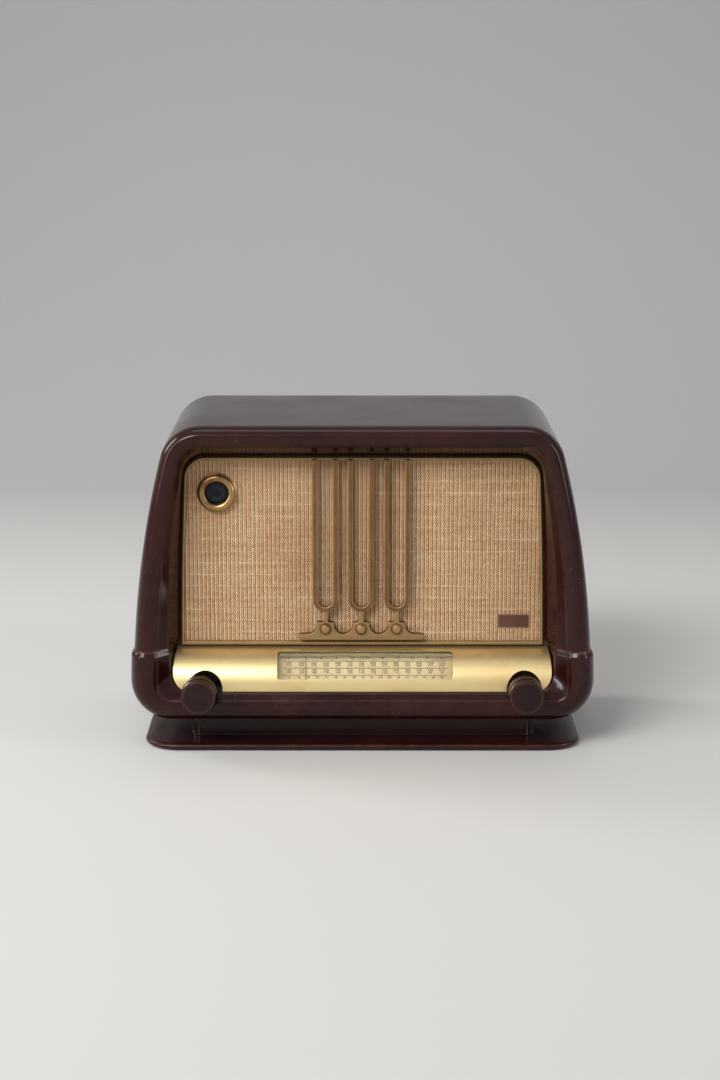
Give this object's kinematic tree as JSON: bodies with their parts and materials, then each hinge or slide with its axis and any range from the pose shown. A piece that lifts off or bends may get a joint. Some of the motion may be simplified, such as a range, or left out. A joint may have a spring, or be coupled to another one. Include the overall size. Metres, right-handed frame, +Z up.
{
  "type": "radio receiver",
  "caption": "Table radio receiver: dark moulded cabinet on a flat pedestal, woven grille with hairpin bars, curved metal dial panel, concentric knobs and a full chassis.",
  "frame": {"origin": "on the table under the middle of the set, halfway between the knobs' faces and the back edge", "axes": "+X along the width to the listener's right, +Y to the back, +Z up"},
  "size_m": [0.5056, 0.265, 0.357],
  "materials": {
    "bakelite": "polished dark oxblood moulding with fine scratches",
    "base_bakelite": "polished reddish brown moulding",
    "knob_bakelite": "worn brown moulding with pale specks",
    "felt": "dark felt",
    "baffle_wood": "unfinished plywood",
    "grille_cloth": "coarse cream and tan weave",
    "bead_metal": "satin gold lacquer",
    "bar_gold": "dull gold paint worn to brown",
    "bezel_brass": "aged brass",
    "eye_glass": "dark clear glass over a coated screen",
    "socket_bakelite": "dull black moulding",
    "plate_enamel": "satin brown enamel, bare",
    "dial_brass": "satin pale brass",
    "dial_glass": "clear flat glass",
    "scale_print": "cream yellow enamel with plain brown divisions",
    "zinc_steel": "dull plated steel",
    "bright_steel": "bright turned steel",
    "turned_brass": "turned brass",
    "lamp": "clear lamp with a brass cap",
    "pointer_paint": "dark brown paint",
    "cord": "waxed linen cord",
    "vane_aluminium": "plain aluminium",
    "rubber": "black rubber",
    "speaker_steel": "dark grey enamel",
    "cone_paper": "black felted paper",
    "paxolin": "brown laminate",
    "valve_glass": "clear glass, silvered at the crown",
    "core_iron": "varnished laminations",
    "winding_paper": "waxed paper over the winding",
    "fibreboard": "brown pressed fibreboard"
  },
  "bodies": {
    "receiver": {"cabinet": "bakelite", "pedestal_base": "base_bakelite", "felt_pads": "felt", "baffle_board": "baffle_wood", "grille_cloth": "grille_cloth", "cloth_bead": "bead_metal", "grille_bars": "bar_gold", "grille_studs": "bar_gold", "eye_bezel": "bezel_brass", "eye_bulb": "eye_glass", "eye_socket": "socket_bakelite", "eye_clamp": "zinc_steel", "name_plate": "plate_enamel", "dial_panel": "dial_brass", "dial_glass": "dial_glass", "dial_scale": "scale_print", "dial_frame": "zinc_steel", "dial_lamps": "lamp", "pointer_rail": "bright_steel", "idler_pulleys": "turned_brass", "drive_cord": "cord", "gang_frame": "vane_aluminium", "gang_stator": "vane_aluminium", "tone_control": "zinc_steel", "band_switch": "socket_bakelite", "switch_bracket": "zinc_steel", "spindle_bush": "turned_brass", "chassis": "zinc_steel", "chassis_feet": "rubber", "chassis_bolts": "bright_steel", "chassis_nuts": "bright_steel", "speaker_basket": "speaker_steel", "speaker_magnet": "speaker_steel", "speaker_cone": "cone_paper", "speaker_bolts": "bright_steel", "valve_sockets": "paxolin", "valve_bases": "socket_bakelite", "valve_bulbs": "valve_glass", "if_cans": "vane_aluminium", "smoothing_capacitor": "vane_aluminium", "transformer_core": "core_iron", "transformer_winding": "winding_paper", "output_core": "core_iron", "output_winding": "winding_paper", "socket_strip": "paxolin", "mains_grommet": "rubber", "back_cover": "fibreboard", "cover_screws": "turned_brass"},
    "pointer_carriage": {"pointer": "pointer_paint"},
    "gang": {"gang_rotor": "vane_aluminium", "drive_drum": "turned_brass"},
    "tuning_control": {"tuning_knob": "knob_bakelite", "tuning_spindle": "bright_steel"},
    "band_control": {"band_ring": "knob_bakelite", "band_sleeve": "turned_brass"},
    "volume_control": {"volume_knob": "knob_bakelite", "volume_spindle": "bright_steel"},
    "tone_control_ring": {"tone_ring": "knob_bakelite", "tone_sleeve": "turned_brass"}
  },
  "joints": [
    {"name": "gang_turn", "type": "hinge", "parent": "receiver", "child": "gang", "pos_m": [0.152, -0.1025, 0.124], "axis": [0, 1, 0], "range_deg": [-14.9, 165.1]},
    {"name": "tuning_turn", "type": "hinge", "parent": "receiver", "child": "tuning_control", "pos_m": [0.1765, -0.1025, 0.0685], "axis": [0, 1, 0], "range_deg": [-149.97, 1651.12]},
    {"name": "pointer_slide", "type": "slide", "parent": "receiver", "child": "pointer_carriage", "axis": [1, 0, 0], "range_m": [-0.0131, 0.1441]},
    {"name": "band_turn", "type": "hinge", "parent": "receiver", "child": "band_control", "pos_m": [0.1765, -0.1025, 0.0685], "axis": [0, 1, 0], "range_deg": [-30, 30]},
    {"name": "volume_turn", "type": "hinge", "parent": "receiver", "child": "volume_control", "pos_m": [-0.1765, -0.1025, 0.0685], "axis": [0, 1, 0], "range_deg": [0, 300]},
    {"name": "tone_turn", "type": "hinge", "parent": "receiver", "child": "tone_control_ring", "pos_m": [-0.1765, -0.1025, 0.0685], "axis": [0, 1, 0], "range_deg": [0, 270]}
  ],
  "couplings": [
    {"joint": "tuning_turn", "follows": "gang_turn", "ratio": 9.9949},
    {"joint": "pointer_slide", "follows": "gang_turn", "m_per_rad": 0.049975}
  ]
}
